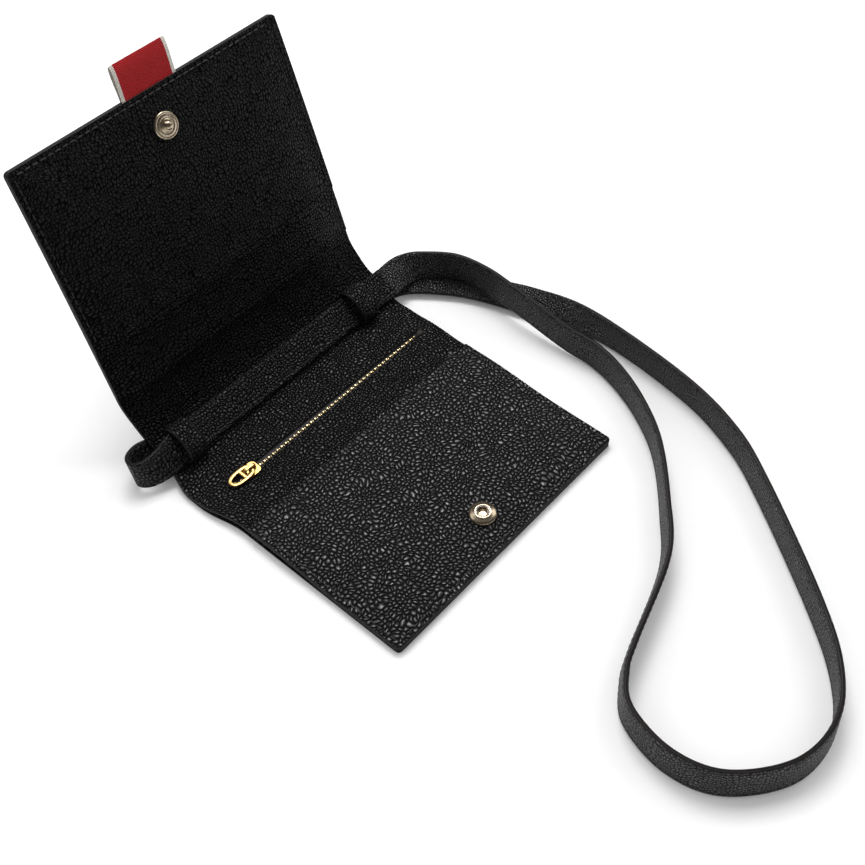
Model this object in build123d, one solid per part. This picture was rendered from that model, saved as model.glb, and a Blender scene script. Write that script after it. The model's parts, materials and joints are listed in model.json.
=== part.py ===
from build123d import *
import os
from math import cos, sin, radians, hypot

# Neck pouch wallet: a two-panel leather wallet that lies open on its front panel,
# with its flap raised, and with a long neck strap threaded along the spine.
# Origin: on the resting plane, under the middle of the fold between front panel and spine.
# +X runs along the spine, +Y from the front panel towards the flap, +Z is up.

# ---- Driving dimensions, in millimetres and degrees ----
WIDTH = 120.0            # along the spine
FRONT_LENGTH = 109.5     # fold to the front panel's free edge
SPINE_WIDTH = 18.0       # fold to fold
FLAP_LENGTH = 110.0      # fold to the flap's free edge
SPINE_REST_ANGLE = 33.0  # spine strip above the resting plane
FLAP_REST_ANGLE = 67.0   # flap above the resting plane
CORNER_RADIUS = 2.5
LEATHER = 1.0            # pocket leather
COVER = 1.1              # outer leather
BOARD = 0.4              # stiffener
LINING = 0.2             # pocket lining
POCKET_DEPTH = 3.4       # room between the outer pocket's lining and its zip tape
GLUE = 0.05              # clearance between stacked layers
RIM = 2.5                # width of a pocket's turned-under rim
ZIP_FROM_FOLD = 18.0     # chain centre to fold, on both panels
SLIP_POCKET_DEPTH = 72.0
CARD_LOWER_DEPTH = 92.0
CARD_UPPER_DEPTH = 72.0
SOCKET_FROM_EDGE = 13.5
STUD_FROM_FOLD = 96.2
STRAP_WIDTH = 12.7
STRAP_THICKNESS = 2.0

# ---- Zip ----
ZIP_WINDOW = 4.6
ZIP_HALF_LENGTH = 57.0
ZIP_SLIT = 1.0
TAPE = 0.3
TAPE_WIDTH = 8.0
TOOTH_PITCH = 2.25
TOOTH = (1.0, 1.25, 0.85)
INNER_CHAIN = (-45.0, 53.0)
OUTER_CHAIN = (-52.5, 53.0)
OUTER_WINDOW = (-55.5, 56.0)
SLIDER_LENGTH = 7.5
SLIDER_WIDTH = 5.8
PULLER_LENGTH = 10.5
PULLER_WIDTH = 5.6
PULLER_HANG = 35.0        # the outer puller hangs off the leaning flap by this angle
INNER_SLIDER_X = -41.0
OUTER_SLIDER_X = -49.0

# ---- Heights of the front panel's layers above the resting plane ----
BOARD_Z = COVER + GLUE
LINING_Z = BOARD_Z + BOARD + GLUE
TAPE_Z = 2.3
LEATHER_Z = TAPE_Z + TAPE + GLUE
FOLD_Z = LEATHER_Z + LEATHER
SLIP_GAP = 0.4
SLIP_Z = FOLD_Z + SLIP_GAP
FRONT_TOP = SLIP_Z + LEATHER

# ---- Heights of the flap's layers inward of its fold plane ----
CARD_BASE = 0.8
CARD_LEATHER = 0.65
CARD_GAP = 0.35
LOWER_N = CARD_GAP
UPPER_N = LOWER_N + CARD_LEATHER + CARD_GAP
FLAP_TOP = UPPER_N + CARD_LEATHER
BACK_BOARD_N = -CARD_BASE - GLUE - BOARD
BACK_LINING_N = BACK_BOARD_N - GLUE - LINING
BACK_TAPE_N = BACK_LINING_N - POCKET_DEPTH
BACK_COVER_N = BACK_TAPE_N - GLUE - LEATHER

# ---- Keepers and strap ----
KEEPER_LENGTH = 8.5
KEEPER_WIDTH = 16.4
KEEPER_HEIGHT = 6.5
KEEPER_WALL = 0.9
KEEPER_LEFT_X = -49.2
KEEPER_RIGHT_X = 44.4
STRAP_IN_N = 2.1
STRAP_OUT_N = -3.6
STRAP_RUN_END = 59.5

# Neck strap outside the spine: x, y, height of the band's middle, and the band's lean from upright
# (positive towards the loop's inside). The first and last points meet the spine's right end.
STRAP_PATH = [
    (61, 6.2, 10.2, 57), (67, 6.5, 11.2, 50), (72, 5.5, 11.6, 28), (77.5, 1.5, 11.4, 10),
    (86, -9.5, 11.2, 6), (88.3, -24, 11.3, 6), (87.3, -39.5, 11.3, 4), (87, -66, 7.6, 4),
    (87.7, -80, 6.6, 5), (84, -95, 6.6, 4), (76, -111.5, 6.6, 2), (64.4, -127, 6.6, 2),
    (45, -143.8, 6.6, 4), (25, -157.6, 6.6, 7), (-9, -168.3, 6.6, 6), (-20.5, -173, 6.6, 3),
    (-30.6, -181.7, 6.6, 4), (-35, -200, 6.6, 8), (-29.7, -217.5, 6.6, 11), (-12, -232, 6.6, 11),
    (8, -234, 6.6, 6), (26, -225, 6.6, 0), (45, -205.2, 6.6, -3), (75.8, -164.5, 6.6, -4),
    (88.5, -143, 6.6, -4), (96.7, -116, 6.6, -2), (100.8, -73, 6.4, -8), (96, -43.5, 4.5, -60),
    (92.5, -30, 3.6, -78), (86, -14, 3.5, -80), (76, 0.5, 3.9, -76), (68.5, 7, 4.6, -66),
    (61, 9.3, 5.4, -57),
]
STEPS_PER_POINT = 4


def plate(x0, x1, y0, y1, z0, z1):
    """A box between two corners."""
    return Pos((x0 + x1) / 2, (y0 + y1) / 2, (z0 + z1) / 2) * Box(x1 - x0, y1 - y0, z1 - z0)


def rod(x, y, z0, z1, radius):
    """An upright cylinder."""
    return Pos(x, y, (z0 + z1) / 2) * Cylinder(radius, z1 - z0)


def round_corners(solid, at_high_y):
    """Round the two upright corner edges at one end of a panel layer."""
    end = -1 if at_high_y else 0
    return fillet(solid.edges().filter_by(Axis.Z).group_by(Axis.Y)[end], CORNER_RADIUS)


def sheet(y0, y1, z0, z1, round_high=None, inset=0.0):
    """One full-width layer, with rounded corners at its free edge."""
    half = WIDTH / 2 - inset
    solid = plate(-half, half, y0, y1, z0, z1)
    if round_high is None:
        return solid
    return round_corners(solid, round_high)


def rimmed(y0, y1, z0, z1, rim_z, free_high):
    """A pocket layer whose sides and free edge turn under down to rim_z."""
    solid = sheet(y0, y1, rim_z, z1, free_high)
    half = WIDTH / 2 - RIM
    if free_high:
        hollow = plate(-half, half, y0 - 1, y1 - RIM, rim_z, z0)
    else:
        hollow = plate(-half, half, y0 + RIM, y1 + 1, rim_z, z0)
    return solid - hollow


def on_spine(shape):
    """Place a shape drawn flat, with y along the spine strip's width, on the raised strip."""
    return Pos(0, 0, FOLD_Z) * Rot(SPINE_REST_ANGLE, 0, 0) * shape


def on_flap(shape):
    """Place a shape drawn flat, with y from the fold to the free edge, on the raised flap."""
    y = SPINE_WIDTH * cos(radians(SPINE_REST_ANGLE))
    z = FOLD_Z + SPINE_WIDTH * sin(radians(SPINE_REST_ANGLE))
    return Pos(0, y, z) * Rot(FLAP_REST_ANGLE, 0, 0) * shape


def upside_down(shape, y, z):
    """Turn a shape over about an X line, so that parts of the inner zip serve on the outside."""
    return Pos(0, y, z) * Rot(180, 0, 0) * shape


# ---- Front panel ----
def front_cover():
    return sheet(-FRONT_LENGTH, -0.3, 0, COVER, False)


def front_stiffener():
    return sheet(-FRONT_LENGTH + 3, -3, BOARD_Z, BOARD_Z + BOARD, False, 3)


def zip_pocket_lining():
    return sheet(-FRONT_LENGTH + 1, -1, LINING_Z, LINING_Z + LINING, False, 1)


def zip_pocket_front():
    y1 = -ZIP_FROM_FOLD - ZIP_WINDOW / 2
    return rimmed(-FRONT_LENGTH, y1, LEATHER_Z, FOLD_Z, LINING_Z + LINING + GLUE, False)


def zip_upper_facing():
    y0 = -ZIP_FROM_FOLD + ZIP_WINDOW / 2
    solid = sheet(y0, -0.3, LINING_Z + LINING + GLUE, FOLD_Z)
    half = WIDTH / 2 - RIM
    return solid - plate(-half, half, y0 - 1, 1, LINING_Z + LINING + GLUE, LEATHER_Z)


def slip_pocket_front():
    y0 = -FRONT_LENGTH
    solid = rimmed(y0, y0 + SLIP_POCKET_DEPTH, SLIP_Z, FRONT_TOP, FOLD_Z + GLUE, False)
    return solid - rod(0, y0 + SOCKET_FROM_EDGE, 0, 10, 1.6)


# ---- Zip, drawn with its chain along X at y = 0 and its heights as on the front panel ----
def zip_tape():
    near = plate(-ZIP_HALF_LENGTH, ZIP_HALF_LENGTH, -TAPE_WIDTH, -ZIP_SLIT / 2, TAPE_Z, TAPE_Z + TAPE)
    return Compound(children=[near, mirror(near, Plane.XZ)])


def zip_teeth(chain):
    teeth = []
    count = int((chain[1] - chain[0]) / TOOTH_PITCH)
    y = ZIP_SLIT / 2 + TOOTH[1] / 2
    z = LEATHER_Z + TOOTH[2] / 2
    for i in range(count):
        x = chain[0] + i * TOOTH_PITCH
        teeth.append(Pos(x, -y, z) * Box(*TOOTH))
        teeth.append(Pos(x + TOOTH_PITCH / 2, y, z) * Box(*TOOTH))
    return Compound(children=teeth)


def zip_stops(chain):
    """A bar clamped across both tape edges at each end of the chain."""
    stops = []
    for x in (chain[0] - 1.8, chain[1] + 1.8):
        stops.append(plate(x - 0.7, x + 0.7, -1.9, 1.9, LEATHER_Z, LEATHER_Z + TOOTH[2]))
    return Compound(children=stops)


def slider_body():
    """Upper and lower wings joined by a thin neck that runs in the slit of the chain."""
    top_z = FOLD_Z + 0.1
    half = SLIDER_LENGTH / 2
    upper = plate(-half, half, -SLIDER_WIDTH / 2, SLIDER_WIDTH / 2, top_z, top_z + 0.8)
    upper = fillet(upper.edges().filter_by(Axis.Z), 1.6)
    neck = plate(-1.5, 2.2, -0.4, 0.4, TAPE_Z - 0.1, top_z + 0.2)
    lower = plate(-half + 0.3, half - 0.3, -2.2, 2.2, TAPE_Z - 0.4, TAPE_Z - 0.1)
    return upper + neck + lower


def slider_bridge():
    """The arch over the slider that holds the puller."""
    base = FOLD_Z + 0.95
    arch = Pos(0, 0, base) * extrude(Plane.XZ * Pos(0, 1.15) * Rectangle(5.4, 2.3), 0.6, both=True)
    arch = fillet(arch.edges().filter_by(Axis.Y).group_by(Axis.Z)[-1], 1.1)
    hole = Pos(0, 0, base) * extrude(Plane.XZ * Pos(0, 0.75) * Rectangle(3.6, 1.9), 0.7, both=True)
    return arch - hole


def puller():
    """A flat loop whose eye passes under the arch; it lies towards -X."""
    z = FOLD_Z + 1.75
    length = PULLER_LENGTH
    outer = extrude(Pos(-length / 2 + 0.9, 0) * RectangleRounded(length, PULLER_WIDTH, 2.2), 0.45, both=True)
    window = Pos(-6.4, 0) * RectangleRounded(4.4, PULLER_WIDTH - 2.4, 1.5)
    eye = Pos(-1.3, 0) * RectangleRounded(3.2, PULLER_WIDTH - 2.2, 0.5)
    return Pos(0, 0, z) * (outer - extrude(window, 1, both=True) - extrude(eye, 1, both=True))


def hanging_puller():
    """The outer puller, swung off its slider about the bar beside its eye."""
    bar = Pos(0.6, 0, FOLD_Z + 1.75)
    return bar * Rot(0, PULLER_HANG, 0) * bar.inverse() * puller()


def on_inner_zip(shape, x=0.0):
    return Pos(x, -ZIP_FROM_FOLD, 0) * shape


def on_outer_zip(shape, x=0.0):
    """Drawn heights above the tape become depths outside the outer pocket's tape."""
    shift = BACK_TAPE_N + TAPE_Z + TAPE
    return on_flap(Pos(x, 0, 0) * upside_down(shape, ZIP_FROM_FOLD, shift))


# ---- Snap fastener ----
def snap_socket():
    y = -FRONT_LENGTH + SOCKET_FROM_EDGE
    z = FRONT_TOP + GLUE
    ring = rod(0, y, z, z + 2.6, 5.0)
    ring = fillet(ring.edges().group_by(Axis.Z)[-1], 1.0)
    return ring - rod(0, y, z + 0.4, z + 3, 2.8) - rod(0, y, z - 1, z + 1, 1.2)


def snap_socket_spring():
    y = -FRONT_LENGTH + SOCKET_FROM_EDGE
    return Pos(0, y, FRONT_TOP + 1.8) * Torus(2.45, 0.25)


def snap_socket_rivet():
    y = -FRONT_LENGTH + SOCKET_FROM_EDGE
    return rod(0, y, FOLD_Z + GLUE, FOLD_Z + 0.3, 4.0) + rod(0, y, FOLD_Z + 0.2, FRONT_TOP, 1.4)


def snap_stud():
    z = FLAP_TOP + GLUE
    flange = rod(0, STUD_FROM_FOLD, z, z + 0.5, 4.9)
    flange = fillet(flange.edges().group_by(Axis.Z)[-1], 0.3)
    step = rod(0, STUD_FROM_FOLD, z + 0.4, z + 0.85, 2.4)
    neck = rod(0, STUD_FROM_FOLD, z + 0.8, z + 1.6, 1.3)
    ball = Pos(0, STUD_FROM_FOLD, z + 1.6) * Sphere(1.6)
    ball = ball & plate(-3, 3, STUD_FROM_FOLD - 3, STUD_FROM_FOLD + 3, z + 0.9, z + 2.95)
    return on_flap(flange + step + neck + ball)


def snap_stud_rivet():
    head = rod(0, STUD_FROM_FOLD, LOWER_N + CARD_LEATHER + GLUE, UPPER_N - GLUE, 4.0)
    post = rod(0, STUD_FROM_FOLD, UPPER_N - 0.1, FLAP_TOP, 1.4)
    return on_flap(head + post)


# ---- Spine ----
def spine_cover():
    return on_spine(sheet(0.3, SPINE_WIDTH - 0.3, -LEATHER - GLUE - COVER, -LEATHER - GLUE))


def spine_lining():
    return on_spine(sheet(0.3, SPINE_WIDTH - 0.3, -LEATHER, 0))


def keeper(x):
    """A leather band looped round the inner run of the strap."""
    middle = SPINE_WIDTH / 2
    outer_top = GLUE + KEEPER_HEIGHT
    profile = Pos(middle, (GLUE + outer_top) / 2) * RectangleRounded(KEEPER_WIDTH, KEEPER_HEIGHT, 2.4)
    inside = (KEEPER_WIDTH - 2 * KEEPER_WALL, KEEPER_HEIGHT - 2 * KEEPER_WALL)
    profile -= Pos(middle, (GLUE + outer_top) / 2) * RectangleRounded(*inside, 1.5)
    band = extrude(Plane.YZ * profile, KEEPER_LENGTH / 2, both=True)
    return on_spine(Pos(x, 0, 0) * band)


def strap_spine_run():
    """The strap along the inside of the spine, round its left end and back along the outside."""
    left = -WIDTH / 2
    path = Line((STRAP_RUN_END, STRAP_IN_N), (left, STRAP_IN_N))
    path += Spline((left, STRAP_IN_N), (left - 7.5, 3.0), (left - 12, -0.75), (left - 7.5, -4.5),
                   (left, STRAP_OUT_N), tangents=((-1, 0), (1, 0)))
    path += Line((left, STRAP_OUT_N), (STRAP_RUN_END, STRAP_OUT_N))
    band = extrude(Plane.XZ * trace(path, STRAP_THICKNESS), STRAP_WIDTH / 2, both=True)
    return on_spine(Pos(0, SPINE_WIDTH / 2, 0) * band)


# ---- Neck strap loop ----
def catmull(p0, p1, p2, p3, t):
    """A point on the smooth curve between p1 and p2."""
    point = []
    for a, b, c, d in zip(p0, p1, p2, p3):
        bend = (2 * a - 5 * b + 4 * c - d) * t * t + (3 * b - a - 3 * c + d) * t ** 3
        point.append(0.5 * (2 * b + (c - a) * t + bend))
    return point


def strap_stations():
    """Stations along the loop, each with a position and a lean."""
    stations = []
    last = len(STRAP_PATH) - 1
    for i in range(last):
        corners = [STRAP_PATH[max(i - 1, 0)], STRAP_PATH[i], STRAP_PATH[i + 1], STRAP_PATH[min(i + 2, last)]]
        for k in range(STEPS_PER_POINT):
            stations.append(catmull(*corners, k / STEPS_PER_POINT))
    stations.append(list(STRAP_PATH[last]))
    return stations


def strap_section(station, heading):
    """The band's rectangle at a station, square to its heading."""
    x, y, z, lean = station
    size = hypot(*heading)
    left = Vector(-heading[1] / size, heading[0] / size, 0)
    across = Vector(0, 0, 1) * cos(radians(lean)) + left * sin(radians(lean))
    through = left * cos(radians(lean)) - Vector(0, 0, 1) * sin(radians(lean))
    middle = Vector(x, y, z)
    a = across * (STRAP_WIDTH / 2)
    t = through * (STRAP_THICKNESS / 2)
    return Wire.make_polygon([middle - a - t, middle + a - t, middle + a + t, middle - a + t])


def strap_loop():
    stations = strap_stations()
    sections = []
    for i, station in enumerate(stations):
        before = stations[max(i - 1, 0)]
        after = stations[min(i + 1, len(stations) - 1)]
        heading = (after[0] - before[0], after[1] - before[1])
        if i in (0, len(stations) - 1):
            heading = (1, 0) if i == 0 else (-1, 0)
        sections.append(strap_section(station, heading))
    return Solid.make_loft(sections, ruled=True)


# ---- Flap ----
def back_cover():
    """The flap's outer leather, its rim turned in to the lining so that it stands off as a pocket."""
    rim_n = BACK_LINING_N - GLUE
    half = WIDTH / 2 - RIM
    solid = sheet(0.3, FLAP_LENGTH, BACK_COVER_N, rim_n, True)
    solid -= plate(-half, half, -1, FLAP_LENGTH - RIM, BACK_COVER_N + LEATHER, 0)
    y = ZIP_FROM_FOLD
    return on_flap(solid - plate(*OUTER_WINDOW, y - ZIP_WINDOW / 2, y + ZIP_WINDOW / 2, -10, 0))


def back_stiffener():
    return on_flap(sheet(3, FLAP_LENGTH - 3, BACK_BOARD_N, BACK_BOARD_N + BOARD, True, 3))


def back_zip_lining():
    return on_flap(sheet(1, FLAP_LENGTH - 1, BACK_LINING_N, BACK_LINING_N + LINING, True, 1))


def card_slot_base():
    return on_flap(sheet(0.3, FLAP_LENGTH, -CARD_BASE, 0, True))


def card_slot_lower():
    y0 = FLAP_LENGTH - CARD_LOWER_DEPTH
    return on_flap(rimmed(y0, FLAP_LENGTH, LOWER_N, LOWER_N + CARD_LEATHER, GLUE, True))


def card_slot_upper():
    y0 = FLAP_LENGTH - CARD_UPPER_DEPTH
    solid = rimmed(y0, FLAP_LENGTH, UPPER_N, FLAP_TOP, LOWER_N + CARD_LEATHER + GLUE, True)
    return on_flap(solid - rod(0, STUD_FROM_FOLD, 0, 5, 1.6))


def ribbon_tab():
    """A folded grosgrain loop at the middle of the flap's free edge."""
    proud = 12.5
    middle = FLAP_LENGTH + 0.6 + proud / 2
    outer = Pos(middle, -0.9) * RectangleRounded(proud, 3.0, 1.4)
    inner = Pos(middle, -0.9) * RectangleRounded(proud - 1.2, 1.8, 0.8)
    return on_flap(extrude(Plane.YZ * (outer - inner), 12, both=True))


# ---- Stitching ----
def stitch_row(start, end, z):
    """Separate stitches in a straight row; x and y of both ends are given."""
    pitch = 4.0
    stitch = 2.8
    length = hypot(end[0] - start[0], end[1] - start[1])
    count = int(length / pitch)
    stitches = []
    for i in range(count):
        t = (i + 0.5) / count
        x = start[0] + (end[0] - start[0]) * t
        y = start[1] + (end[1] - start[1]) * t
        size = (stitch, 0.5) if abs(end[0] - start[0]) > 1 else (0.5, stitch)
        stitches.append(Pos(x, y, z + 0.15) * Box(*size, 0.2))
    return stitches


def panel_stitching(free_y, open_y, z):
    """Stitches along both sides and the free edge of a panel, 2 mm inside its edge."""
    x = WIDTH / 2 - 2
    inward = 2 if open_y > free_y else -2
    y = free_y + inward
    rows = stitch_row((-x, y), (x, y), z)
    rows += stitch_row((-x, y + inward), (-x, open_y), z)
    rows += stitch_row((x, y + inward), (x, open_y), z)
    return Compound(children=rows)


def front_stitching():
    return panel_stitching(-FRONT_LENGTH, -FRONT_LENGTH + SLIP_POCKET_DEPTH - 1, FRONT_TOP)


def flap_stitching():
    return on_flap(panel_stitching(FLAP_LENGTH, FLAP_LENGTH - CARD_UPPER_DEPTH + 1, FLAP_TOP))


NODES = {
    "front_cover": front_cover(),
    "front_stiffener": front_stiffener(),
    "zip_pocket_lining": zip_pocket_lining(),
    "zip_pocket_front": zip_pocket_front(),
    "zip_upper_facing": zip_upper_facing(),
    "slip_pocket_front": slip_pocket_front(),
    "inner_zip_tape": on_inner_zip(zip_tape()),
    "inner_zip_teeth": on_inner_zip(zip_teeth(INNER_CHAIN)),
    "inner_zip_stops": on_inner_zip(zip_stops(INNER_CHAIN)),
    "inner_slider_body": on_inner_zip(slider_body(), INNER_SLIDER_X),
    "inner_slider_bridge": on_inner_zip(slider_bridge(), INNER_SLIDER_X),
    "inner_puller": on_inner_zip(puller(), INNER_SLIDER_X),
    "snap_socket": snap_socket(),
    "snap_socket_spring": snap_socket_spring(),
    "snap_socket_rivet": snap_socket_rivet(),
    "front_stitching": front_stitching(),
    "spine_cover": spine_cover(),
    "spine_lining": spine_lining(),
    "keeper_left": keeper(KEEPER_LEFT_X),
    "keeper_right": keeper(KEEPER_RIGHT_X),
    "strap_spine_run": strap_spine_run(),
    "strap_loop": strap_loop(),
    "back_cover": back_cover(),
    "back_stiffener": back_stiffener(),
    "back_zip_lining": back_zip_lining(),
    "card_slot_base": card_slot_base(),
    "card_slot_lower": card_slot_lower(),
    "card_slot_upper": card_slot_upper(),
    "outer_zip_tape": on_outer_zip(zip_tape()),
    "outer_zip_teeth": on_outer_zip(zip_teeth(OUTER_CHAIN)),
    "outer_zip_stops": on_outer_zip(zip_stops(OUTER_CHAIN)),
    "outer_slider_body": on_outer_zip(slider_body(), OUTER_SLIDER_X),
    "outer_slider_bridge": on_outer_zip(slider_bridge(), OUTER_SLIDER_X),
    "outer_puller": on_outer_zip(hanging_puller(), OUTER_SLIDER_X),
    "snap_stud": snap_stud(),
    "snap_stud_rivet": snap_stud_rivet(),
    "ribbon_tab": ribbon_tab(),
    "flap_stitching": flap_stitching(),
}

os.makedirs("parts", exist_ok=True)
for name, shape in NODES.items():
    export_step(shape, f"parts/{name}.step")
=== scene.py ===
import json
import math
import bpy
import numpy as np
from mathutils import Matrix, Vector


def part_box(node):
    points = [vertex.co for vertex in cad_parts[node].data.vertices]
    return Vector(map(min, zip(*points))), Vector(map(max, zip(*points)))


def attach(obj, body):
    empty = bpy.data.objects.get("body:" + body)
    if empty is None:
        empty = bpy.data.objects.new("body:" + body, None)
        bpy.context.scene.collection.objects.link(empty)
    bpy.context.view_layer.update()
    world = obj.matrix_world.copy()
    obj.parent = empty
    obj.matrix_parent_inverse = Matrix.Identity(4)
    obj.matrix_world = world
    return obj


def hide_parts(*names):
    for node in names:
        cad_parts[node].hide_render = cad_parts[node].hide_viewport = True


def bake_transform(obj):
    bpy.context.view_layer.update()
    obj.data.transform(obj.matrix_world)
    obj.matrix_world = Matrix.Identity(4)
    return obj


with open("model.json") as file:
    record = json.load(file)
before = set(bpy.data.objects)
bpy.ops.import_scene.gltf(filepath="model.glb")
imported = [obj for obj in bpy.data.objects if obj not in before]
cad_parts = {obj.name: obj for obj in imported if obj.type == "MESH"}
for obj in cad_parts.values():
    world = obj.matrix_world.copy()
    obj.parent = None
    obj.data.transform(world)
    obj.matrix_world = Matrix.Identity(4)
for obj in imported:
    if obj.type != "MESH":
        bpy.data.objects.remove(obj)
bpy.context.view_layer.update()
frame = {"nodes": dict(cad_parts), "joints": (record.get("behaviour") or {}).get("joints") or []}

# Looks of a neck pouch wallet. Lengths below are in millimetres until a mesh is made.
# v runs along the wallet's length: negative on the front panel, 0 at the first fold,
# SPINE at the second fold, then up the flap. n is the height over that surface, inwards.
MM = 0.001


def low(node):
    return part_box(node)[0] / MM


def high(node):
    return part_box(node)[1] / MM


# ---- Sizes read from the frame ----
JOINT_AT = {j["name"]: Vector(j["pos_m"]) / MM for j in frame["joints"] if "pos_m" in j}
HALF = high("front_cover").x
FRONT = -low("front_cover").y
FOLD_1 = JOINT_AT["spine_fold"]
FOLD_2 = JOINT_AT["flap_fold"]
FOLD_Z = FOLD_1.z
SPINE = math.hypot(FOLD_2.y - FOLD_1.y, FOLD_2.z - FOLD_1.z)
SPINE_ANGLE = math.atan2(FOLD_2.z - FOLD_1.z, FOLD_2.y - FOLD_1.y)
SOCKET_Y = (low("snap_socket").y + high("snap_socket").y) / 2
SOCKET_Z = low("snap_socket").z
SLIP_TOP = high("slip_pocket_front").z - FOLD_Z
SLIP_V = high("slip_pocket_front").y
ZIP_V = (low("inner_zip_tape").y + high("inner_zip_tape").y) / 2
TAPE_HALF = high("inner_zip_tape").x
INNER_CHAIN = (low("inner_zip_teeth").x, high("inner_zip_teeth").x)
OUTER_CHAIN = (low("outer_zip_teeth").x, high("outer_zip_teeth").x)
FLOOR_Z = min(low("strap_loop").z, 0)

# ---- Sizes of the soft parts ----
FLAP_ANGLE = math.radians(67)
FLAP = 110.0
FLAP_END = SPINE + FLAP
FOLD_SOFTNESS = 5.0
CORNER = 1.8
MIDDLE = SPINE / 2              # where the sheets that bend at each fold meet, under the strap
OVERLAP = 0.15                  # how far they reach past it
LEATHER, COVER, CARD = 1.0, 1.1, 0.65       # thicknesses of the leathers
CARD_MOUTHS = (18.0, 38.0)      # lower edges of the two card pockets, from the second fold
CARD_UNDERS = (0.3, 1.3)        # heights of their undersides
CARD_BASE = (-0.8, 0)           # heights of the sheets inside the panels
FLAP_BOARD, FLAP_LINING = (-1.25, -0.85), (-1.5, -1.3)
FRONT_BOARD, FRONT_LINING = (-2.5, -2.1), (-2.05, -1.85)
INNER_MARGIN = 3
BACK_OUTER = -2.3 - LEATHER
WINDOW_LOW, WINDOW_HIGH = 1.5, 1.9          # half widths of the zips' openings
TAPE_THICK, TAPE_GAP, TAPE_REACH = 0.3, 0.25, 8
OUTER_TAPE = -2.05
CHAIN_SEAT = 0.28               # how far the teeth stand into their tapes
TOOTH_STEP = 1.125              # from a tooth to the other tape's next tooth
PULLER_BAR = 0.6                # from the slider's middle to the puller's bar
PULLER_HANG = math.radians(35)  # how far the outer puller hangs off the flap
STUD_U = 96.2                   # the snap's stud, from the second fold
STRAP = (12.7, 2.0)
STRAP_IN, STRAP_OUT = 2.1, -3.6
STEPS = 8                       # stations on each stretch of the strap's path
STRAP_PATH = [
    # x, y, z of the band's middle and its lean in degrees
    (61, 6.2, 10.2, 57), (67, 6.5, 10.5, 50), (72, 5.4, 10.7, 34), (77.5, 2, 10.6, 18),
    (86, -9.5, 11.2, 6), (88.3, -24, 11.3, 6), (87.3, -39.5, 11.3, 4), (87, -66, 7.6, 4),
    (87.7, -80, 6.6, 5), (84, -95, 6.6, 4), (76, -111.5, 6.6, 2), (64.4, -127, 6.6, 2),
    (45, -143.8, 6.6, 4), (25, -157.6, 6.6, 7), (-9, -168.3, 6.6, 6), (-20.5, -173, 6.6, 3),
    (-30.6, -181.7, 6.6, 4), (-35, -200, 6.6, 8), (-29.7, -217.5, 6.6, 11),
    (-12, -232, 6.6, 11),
    (8, -234, 6.6, 6), (26, -225, 6.6, 0), (45, -205.2, 6.6, -3), (75.8, -164.5, 6.6, -4),
    (88.5, -143, 6.6, -4), (96.7, -116, 6.6, -2), (100.8, -73, 6.4, -8), (96, -43.5, 4.5, -60),
    (92.5, -30, 3.6, -78), (86, -14, 3.5, -80), (76, 0.5, 3.9, -76), (68.5, 7, 4.6, -66),
    (61, 9.3, 5.4, -57),
]


# ---- Surface of the open wallet ----
def smoothstep(a, b, x):
    t = np.clip((np.asarray(x, float) - a) / (b - a), 0, 1)
    return t * t * (3 - 2 * t)


def sharp_rail(v):
    """y and z of the fold plane with sharp folds."""
    ahead = np.maximum(v, 0)
    spine = np.minimum(ahead, SPINE)
    flap = ahead - spine
    y = np.minimum(v, 0) + spine * math.cos(SPINE_ANGLE) + flap * math.cos(FLAP_ANGLE)
    z = FOLD_Z + spine * math.sin(SPINE_ANGLE) + flap * math.sin(FLAP_ANGLE)
    return np.stack([y, z], -1)


def rail(v):
    """The same with each fold rounded over."""
    offsets = np.linspace(-1, 1, 17)
    weights = 1 + np.cos(offsets * math.pi)
    points = [w * sharp_rail(v + o * FOLD_SOFTNESS) for o, w in zip(offsets, weights)]
    return sum(points) / weights.sum()


def bow(x, v):
    """How far the flap sags outwards: most near its fold and along its sides."""
    u = v - SPINE
    shape = smoothstep(-7, 14, u) * np.clip(1 - (u - 14) / (FLAP - 14), 0, 1) ** 1.2
    middle, side, start = 2.7, np.where(x > 0, 6.0, 7.5), np.where(x > 0, 38, 48)
    return shape * (middle + (side - middle) * smoothstep(start, HALF, np.abs(x)))


def swell(x, v):
    """How far the front pockets stand up: a little in the middle, more at the sides."""
    along = smoothstep(-82, -50, v) * (1 - smoothstep(-30, -8, v))
    middle, side = 0.25, 1.5
    return along * (middle + side * smoothstep(42, 60, np.abs(x)))


def flare(x, v):
    """How far the sides spread beside the first fold, where the leather is pushed outwards."""
    right, left = 1.4, -3.0
    along = smoothstep(-34, -14, v) * (1 - smoothstep(-8, 6, v))
    return along * smoothstep(36, 60, np.abs(x)) * np.where(x > 0, right, left)


def pinch(x, v):
    """How far the stacked layers are pressed together near the sewn edges; 1 is not at all."""
    free_end = np.where(v < 0, v + FRONT, FLAP_END - v)
    from_edge = np.minimum(HALF - np.abs(x), free_end)
    pressed = np.where(v < MIDDLE, 0.66, 0.52)
    return pressed + (1 - pressed) * smoothstep(-1, 13, from_edge)


def place(x, v, n, lift=False):
    """Points in the frame, in millimetres, from surface coordinates."""
    x, v, n = np.broadcast_arrays(*(np.asarray(values, float) for values in (x, v, n)))
    # The front panel's layers are pressed down onto its cover, which lies on the floor.
    resting = FOLD_Z * (1 - smoothstep(-12, 6, v))
    n = (n + resting) * pinch(x, v) - resting
    x = x + flare(x, v)
    middle = rail(v)
    run = rail(v + 0.2) - rail(v - 0.2)
    run = run / np.linalg.norm(run, axis=-1, keepdims=True)
    height = n - bow(x, v) + (swell(x, v) if lift else 0)
    y = middle[..., 0] - height * run[..., 1]
    z = middle[..., 1] + height * run[..., 0]
    return np.stack([x, y, z], -1)


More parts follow.
